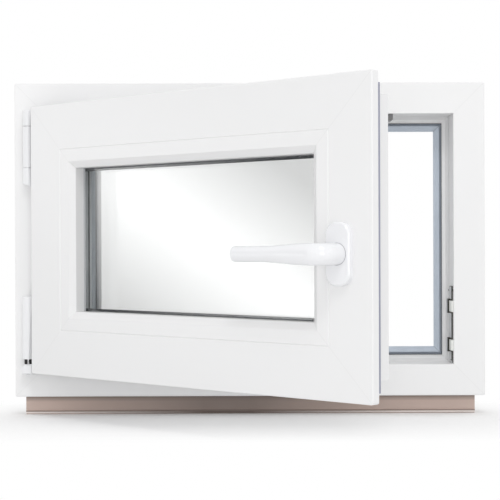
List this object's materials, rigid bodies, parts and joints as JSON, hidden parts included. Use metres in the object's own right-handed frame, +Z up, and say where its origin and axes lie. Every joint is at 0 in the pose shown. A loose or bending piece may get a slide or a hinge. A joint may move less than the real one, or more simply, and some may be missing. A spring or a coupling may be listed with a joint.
{
  "type": "basement window",
  "caption": "Small white basement window on a sill profile, its double-glazed sash with lever handle standing turned open into the room.",
  "frame": {"origin": "centre of the sill profile's underside, where the window is seated on the wall", "axes": "+X right as seen from the room, +Y outdoors, +Z up"},
  "size_m": [0.6, 0.449, 0.425],
  "materials": {
    "frame": "smooth white extruded profile, satin gloss",
    "sash": "smooth white extruded profile, satin gloss",
    "bead": "smooth white extruded bead, satin gloss",
    "frame_gasket": "light grey sealing lip",
    "sash_gasket": "grey sealing lip",
    "glazing_gasket": "light grey glazing seal",
    "sill": "taupe through-coloured extrusion",
    "glass": "clear float glass",
    "spacer": "mill-finish spacer bar",
    "edge_seal": "black sealant",
    "hinge_cover": "white moulded cover",
    "hinge_steel": "zinc-plated steel",
    "gear_steel": "zinc-plated silver steel",
    "keep": "zinc die casting, silver",
    "keep_packer": "dark moulded packer",
    "keep_ramp": "pale moulded run-in",
    "bush": "black bearing bush",
    "handle": "white powder coat, satin gloss",
    "drain_cover": "white moulded cap"
  },
  "bodies": {
    "root": {"bead_head": "bead", "bead_hinge": "bead", "bead_lock": "bead", "bead_sill": "bead", "corner_bearing": "hinge_steel", "corner_bearing_cap": "hinge_cover", "corner_bush": "bush", "corner_drives": "gear_steel", "corner_pin": "hinge_steel", "drain_covers": "drain_cover", "faceplate_head": "gear_steel", "faceplate_lock": "gear_steel", "faceplate_sill": "gear_steel", "frame_gasket": "frame_gasket", "frame_head": "frame", "frame_jamb_hinge": "frame", "frame_jamb_lock": "frame", "frame_sill": "frame", "glass_edge_seal": "edge_seal", "glass_inner": "glass", "glass_outer": "glass", "glass_spacer": "spacer", "glazing_gasket_inner": "glazing_gasket", "glazing_gasket_outer": "glazing_gasket", "handle_lever": "handle", "handle_rosette": "handle", "head_keep": "keep", "keep_packer": "keep_packer", "keep_ramps": "keep_ramp", "locking_cams": "gear_steel", "sash_gasket": "sash_gasket", "sash_head": "sash", "sash_hinge_cover": "hinge_cover", "sash_hinge_leaf": "hinge_steel", "sash_sill": "sash", "sash_stile_hinge": "sash", "sash_stile_lock": "sash", "sill_profile": "sill", "stay_arm": "gear_steel", "stay_arm_cover": "hinge_cover", "stay_bearing": "hinge_steel", "stay_bearing_cover": "hinge_cover", "stay_link": "gear_steel", "stay_pin": "hinge_steel", "stay_pin_cap": "hinge_cover", "tilt_keep": "keep"}
  },
  "joints": []
}
